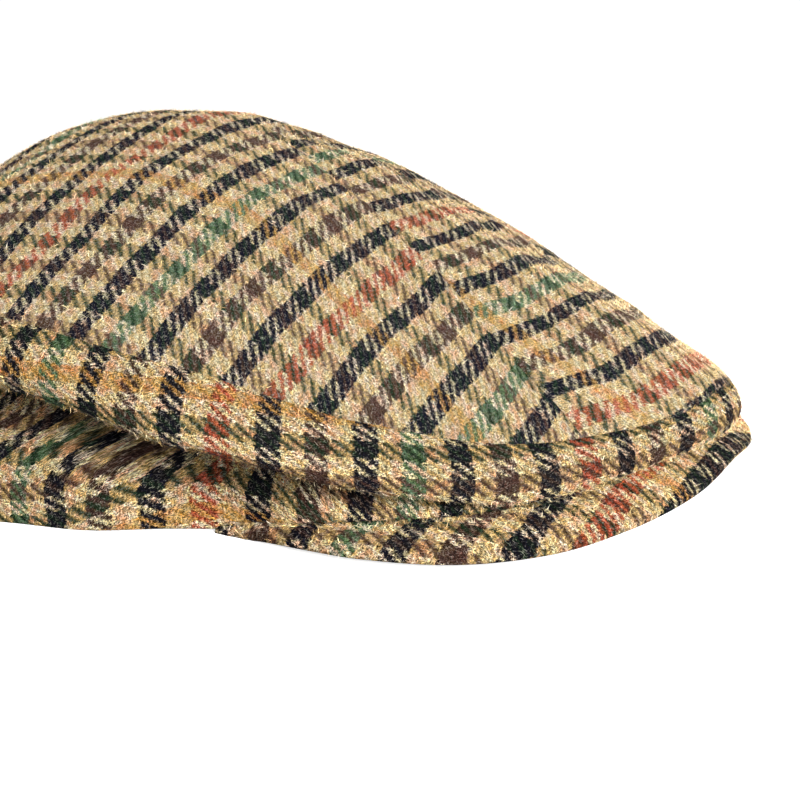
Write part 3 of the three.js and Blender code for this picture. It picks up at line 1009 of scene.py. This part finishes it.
@dataclass(frozen=True)
class Nap:
    """Loose wool fibres that stand off the brushed face of the cloth."""

    per_mm2: float
    length: float = 0.95
    width: float = 0.085
    lean: float = 72.0
    seed: int = 7

    def _group(self) -> NodeTree:
        """Builds the node tree that grows the fibres.

        Returns:
            The tree, with the fibres' sizes as named inputs.
        """
        tree = bpy.data.node_groups.new("raised_nap", "GeometryNodeTree")
        sockets = {
            "Geometry": "Geometry", "Fibres per square metre": "Float", "Length": "Float",
            "Width": "Float", "Lean": "Float", "Seed": "Int", "Finish": "Material",
        }
        for label, kind in sockets.items():
            tree.interface.new_socket(label, in_out="INPUT", socket_type="NodeSocket" + kind)
        tree.interface.new_socket("Geometry", in_out="OUTPUT", socket_type="NodeSocketGeometry")
        given = put(tree, "NodeGroupInput", {}).outputs
        side = put(tree, "GeometryNodeInputNamedAttribute", {"Name": "face_side"}, data_type="FLOAT")
        on_face = put(tree, "FunctionNodeCompare", {0: side.outputs[0], 1: 0.99},
                      data_type="FLOAT", operation="GREATER_THAN")
        roots = put(tree, "GeometryNodeDistributePointsOnFaces",
                    {"Mesh": given["Geometry"], "Selection": on_face.outputs[0],
                     "Density": given["Fibres per square metre"], "Seed": given["Seed"]},
                    distribute_method="RANDOM")
        # Each fibre is one narrow blade that tapers and bends over.
        blade = put(tree, "GeometryNodeMeshGrid",
                    {"Size X": 1.0, "Size Y": 1.0, "Vertices X": 2, "Vertices Y": 2})
        spot = put(tree, "GeometryNodeInputPosition", {}).outputs[0]
        place = put(tree, "ShaderNodeSeparateXYZ", {0: spot}).outputs
        rise = reckon(tree, "ADD", place[1], 0.5)
        taper = reckon(tree, "MULTIPLY_ADD", rise, -0.7, 1.0)
        wide = reckon(tree, "MULTIPLY", reckon(tree, "MULTIPLY", place[0], taper), given["Width"])
        tall = reckon(tree, "MULTIPLY", rise, given["Length"])
        bend = reckon(tree, "MULTIPLY", reckon(tree, "MULTIPLY", rise, tall), 0.6)
        stood = put(tree, "ShaderNodeCombineXYZ", {0: wide, 1: bend, 2: tall})
        fibre = put(tree, "GeometryNodeSetPosition",
                    {"Geometry": blade.outputs["Mesh"], "Position": stood.outputs[0]})
        # It is tipped at random, by the lean at most, and turned any way round.
        other_way = reckon(tree, "MULTIPLY", given["Lean"], -1.0)
        least = put(tree, "ShaderNodeCombineXYZ", {0: other_way, 1: other_way, 2: 0.0})
        most = put(tree, "ShaderNodeCombineXYZ", {0: given["Lean"], 1: given["Lean"], 2: 2 * math.pi})
        tumble = put(tree, "FunctionNodeRandomValue",
                     {0: least.outputs[0], 1: most.outputs[0], "Seed": given["Seed"]},
                     data_type="FLOAT_VECTOR")
        tipped = put(tree, "FunctionNodeEulerToRotation", {0: tumble.outputs[0]})
        turned = put(tree, "FunctionNodeRotateRotation",
                     {"Rotation": roots.outputs["Rotation"], "Rotate By": tipped.outputs[0]},
                     rotation_space="LOCAL")
        size = put(tree, "FunctionNodeRandomValue",
                   {2: 0.45, 3: 1.15, "Seed": given["Seed"]}, data_type="FLOAT")
        grown = put(tree, "GeometryNodeInstanceOnPoints",
                    {"Points": roots.outputs["Points"], "Instance": fibre.outputs[0],
                     "Rotation": turned.outputs[0], "Scale": size.outputs[1]})
        shade = put(tree, "FunctionNodeRandomValue", {2: 0.0, 3: 1.0, "Seed": 3}, data_type="FLOAT")
        toned = put(tree, "GeometryNodeStoreNamedAttribute",
                    {"Geometry": grown.outputs[0], "Name": "tone", "Value": shade.outputs[1]},
                    data_type="FLOAT", domain="INSTANCE")
        real = put(tree, "GeometryNodeRealizeInstances", {"Geometry": toned.outputs[0]})
        dressed = put(tree, "GeometryNodeSetMaterial",
                      {"Geometry": real.outputs[0], "Material": given["Finish"]})
        put(tree, "NodeGroupOutput", {0: dressed.outputs[0]})
        return tree

    def grow(self, cloth: Object, name: str, material: Material) -> Object:
        """Grows the nap on a piece of cloth.

        Args:
            cloth: the piece, with its face_side attribute.
            name: the nap's own name.
            material: the finish of the fibres.

        Returns:
            The nap, as a plain mesh.
        """
        tree = bpy.data.node_groups.get("raised_nap") or self._group()
        grower = cloth.modifiers.new("nap", "NODES")
        grower.node_group = tree
        given = {
            "Fibres per square metre": self.per_mm2 / MM**2,
            "Length": self.length * MM,
            "Width": self.width * MM,
            "Lean": math.radians(self.lean),
            "Seed": self.seed,
            "Finish": material,
        }
        for item in tree.interface.items_tree:
            if item.item_type == "SOCKET" and item.in_out == "INPUT" and item.name in given:
                grower[item.identifier] = given[item.name]
        graph = bpy.context.evaluated_depsgraph_get()
        mesh = bpy.data.meshes.new_from_object(cloth.evaluated_get(graph))
        cloth.modifiers.remove(grower)
        mesh.name = name
        return add_object(name, mesh)


# ------------ Studio ------------


@dataclass(frozen=True)
class Camera:
    """Where the cap is seen from, round its own axes."""

    azimuth: float = -65.1
    elevation: float = 12.0
    distance: float = 0.413
    target: tuple[float, float, float] = (-0.0511, -0.0564, 0.0269)
    lens: float = 76.1

    def place(self) -> None:
        """Adds the camera and makes it the scene's own."""
        a, e = math.radians(self.azimuth), math.radians(self.elevation)
        back = Vector((math.sin(a) * math.cos(e), -math.cos(a) * math.cos(e), math.sin(e)))
        right = Vector((math.cos(a), math.sin(a), 0.0))
        up = back.cross(right)
        lens = bpy.data.cameras.new("camera")
        lens.lens = self.lens
        lens.sensor_width = 36.0
        lens.clip_start = 0.01
        eye = add_object("camera", lens)
        turn = Matrix((right, up, back)).transposed().to_4x4()
        eye.matrix_world = Matrix.Translation(Vector(self.target) + back * self.distance) @ turn
        bpy.context.scene.camera = eye


@dataclass(frozen=True)
class Softbox:
    """One square area light that looks at the cap."""

    name: str
    spot: tuple[float, float, float]
    size: float
    power: float

    def place(self) -> None:
        """Adds the light."""
        lamp = bpy.data.lights.new(self.name, "AREA")
        lamp.size = self.size
        lamp.energy = self.power
        holder = add_object(self.name, lamp)
        holder.location = self.spot
        aim = Vector((0.0, 0.0, 0.04)) - Vector(self.spot)
        holder.rotation_euler = aim.to_track_quat("-Z", "Y").to_euler()


@dataclass(frozen=True)
class Studio:
    """A pale floor in soft light from all round."""

    lights: tuple[Softbox, ...] = (
        Softbox("key", (-0.61, -0.82, 0.42), 0.3, 16.0),
        Softbox("low fill", (-0.65, -0.85, 0.26), 0.3, 10.0),
        Softbox("rim", (0.7, 0.5, 0.9), 0.8, 2.0),
    )
    floor_size: float = 12.0

    def build(self) -> None:
        """Makes the floor, the world's light and the softboxes."""
        half = self.floor_size / 2
        mesh = bpy.data.meshes.new("floor")
        corners = [(-half, -half, 0), (half, -half, 0), (half, half, 0), (-half, half, 0)]
        mesh.from_pydata(corners, [], [(0, 1, 2, 3)])
        paper = bpy.data.materials.new("matt white paper floor")
        paper.use_nodes = True
        # The paper lies on a light table, which keeps it white up to the horizon.
        feed(paper.node_tree, paper.node_tree.nodes["Principled BSDF"], {
            "Base Color": linear("#FBFAF9"),
            "Roughness": 0.9,
            "Emission Color": linear("#FFFFFF"),
            "Emission Strength": 0.75,
        })
        mesh.materials.append(paper)
        floor = add_object("floor", mesh)
        # The light that the paper would send back up is left out: it would fill the fold from below.
        floor.visible_diffuse = False
        world = bpy.data.worlds.new("studio")
        world.use_nodes = True
        tree = world.node_tree
        # Light comes from the level all round, with less from above and least from below.
        way = put(tree, "ShaderNodeTexCoord", {})
        rise = put(tree, "ShaderNodeSeparateXYZ", {0: way.outputs["Generated"]}).outputs[2]
        sweep = ramp(tree, remap(tree, rise, (-1.0, 1.0), (0.0, 1.0)), (
            (0.45, linear("#7A7A7A")), (0.485, linear("#FFFFFF")),
            (0.52, linear("#FFFFFF")), (0.56, linear("#ACACAC")),
        ))
        feed(tree, tree.nodes["Background"], {"Color": sweep.outputs["Color"], "Strength": 1.05})
        bpy.context.scene.world = world
        bpy.context.scene.view_settings.view_transform = "Standard"
        for light in self.lights:
            light.place()


def main() -> None:
    """Builds the cap and its studio."""
    logging.basicConfig(level=logging.INFO, format="%(message)s")
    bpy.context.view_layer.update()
    axis_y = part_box("peak")[0][1] / MM + PEAK_REACH
    sett = Sett()
    tweed = TweedFinish("milled wool tweed, piece-dyed yarns in two-and-two twill", sett).build()
    wool = TweedFinish("raised wool nap, teased from the yarns", sett,
                       tone_attribute="tone", bump=0.05).build()
    # Hands smooth the crown. On the band and the peak, stronger painted light and shade on the fibres and
    # painted shade in their dark places stand for the deeper nap of new cloth.
    brushed_shaded_tweed = TweedFinish("milled wool tweed, brushed up, deeper painted shade", sett, contrast=1.45, nap_shade=1.2).build()
    brushed_shaded_wool = TweedFinish("raised wool nap, brushed up, deeper painted shade", sett,
                             tone_attribute="tone", bump=0.05, contrast=1.2, nap_shade=1.2).build()
    pieces = (
        CrownPanel("top_panel_centre", ("top_panel_centre",), -WEDGE_TURN, WEDGE_TURN, 110, 100),
        CrownPanel("top_panel_right", ("top_panel_right",), WEDGE_TURN, HALF_TURN),
        CrownPanel("top_panel_left", ("top_panel_left",), -HALF_TURN, -WEDGE_TURN, nap_per_mm2=1.2),
        SideBand(),
        Peak(),
    )
    for made in pieces:
        # Brushed pieces take the finishes with stronger painted light and shade.
        cloth = made.shell().build(axis_y, brushed_shaded_tweed if made.brushed else tweed)
        nap = Nap(made.nap_per_mm2).grow(cloth, made.name + "_nap", brushed_shaded_wool if made.brushed else wool)
        for piece in (cloth, nap):
            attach(piece, "root")
            log.info("%s: %d faces", piece.name, len(piece.data.polygons))
        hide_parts(*made.nodes)
    Studio().build()
    Camera().place()


if __name__ == "__main__":
    main()
